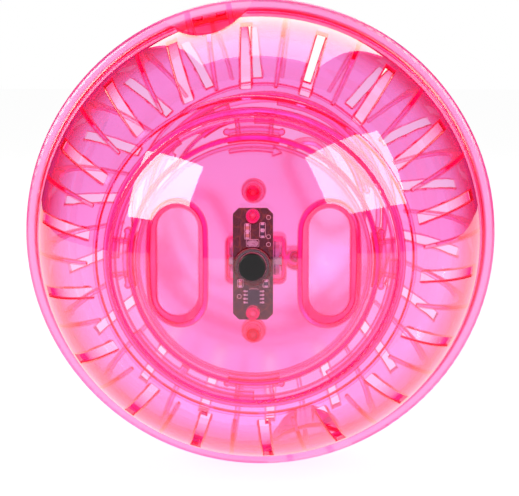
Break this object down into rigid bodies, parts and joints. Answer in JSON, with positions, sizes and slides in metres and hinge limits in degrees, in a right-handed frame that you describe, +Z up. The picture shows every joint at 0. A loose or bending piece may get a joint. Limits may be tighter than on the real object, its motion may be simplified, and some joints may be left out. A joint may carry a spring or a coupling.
{
  "type": "hamster exercise ball",
  "caption": "Clear pink exercise ball for a hamster: slotted half shells snapped together, twist-lock doors at the poles, and a push-button light module in the front door.",
  "frame": {"origin": "centre of the ball, on its axis in the parting plane of the two half shells", "axes": "+Y along the ball's axis towards the rear door, with the lit front door facing -Y; +Z up, along the front door's finger wells; +X to the right seen from the front"},
  "size_m": [0.1778, 0.1736, 0.1778],
  "materials": {
    "shell_pink": "clear tinted polystyrene, polished moulding",
    "door_pink": "clear tinted polystyrene, polished moulding",
    "module_pink": "clear tinted polystyrene, polished moulding",
    "board_mask": "solder-masked glass-epoxy board",
    "epoxy_black": "moulded epoxy",
    "ceramic": "fired ceramic",
    "lens_white": "clear resin over a white cup",
    "button_black": "satin moulded plastic",
    "bright_steel": "nickel plated",
    "cell_steel": "nickel plated can"
  },
  "bodies": {
    "ball": {"front_shell": "shell_pink", "rear_shell": "shell_pink"},
    "front_door": {"front_door": "door_pink", "door_inner_disc": "module_pink", "circuit_board": "board_mask", "control_chip": "epoxy_black", "resonator": "bright_steel", "resistors": "epoxy_black", "capacitors": "ceramic", "leds": "lens_white", "switch_housing": "epoxy_black", "battery_cell_1": "cell_steel", "battery_cell_2": "cell_steel", "battery_cell_3": "cell_steel", "battery_spring_contact": "bright_steel", "battery_plate_contact": "bright_steel", "battery_cover": "module_pink", "battery_cover_screw": "bright_steel"},
    "rear_door": {"rear_door": "door_pink"},
    "button": {"push_button": "button_black", "switch_plunger": "button_black"}
  },
  "joints": [
    {"name": "front_door_turn", "type": "hinge", "parent": "ball", "child": "front_door", "pos_m": [0, 0, 0], "axis": [0, 1, 0], "range_deg": [-16, 14]},
    {"name": "rear_door_turn", "type": "hinge", "parent": "ball", "child": "rear_door", "pos_m": [0, 0, 0], "axis": [0, -1, 0], "range_deg": [-16, 14]},
    {"name": "button_press", "type": "slide", "parent": "front_door", "child": "button", "axis": [0, 1, 0], "range_m": [0, 0.0005], "stiffness_N_per_m": 1500, "springref_m": -0.0005}
  ]
}
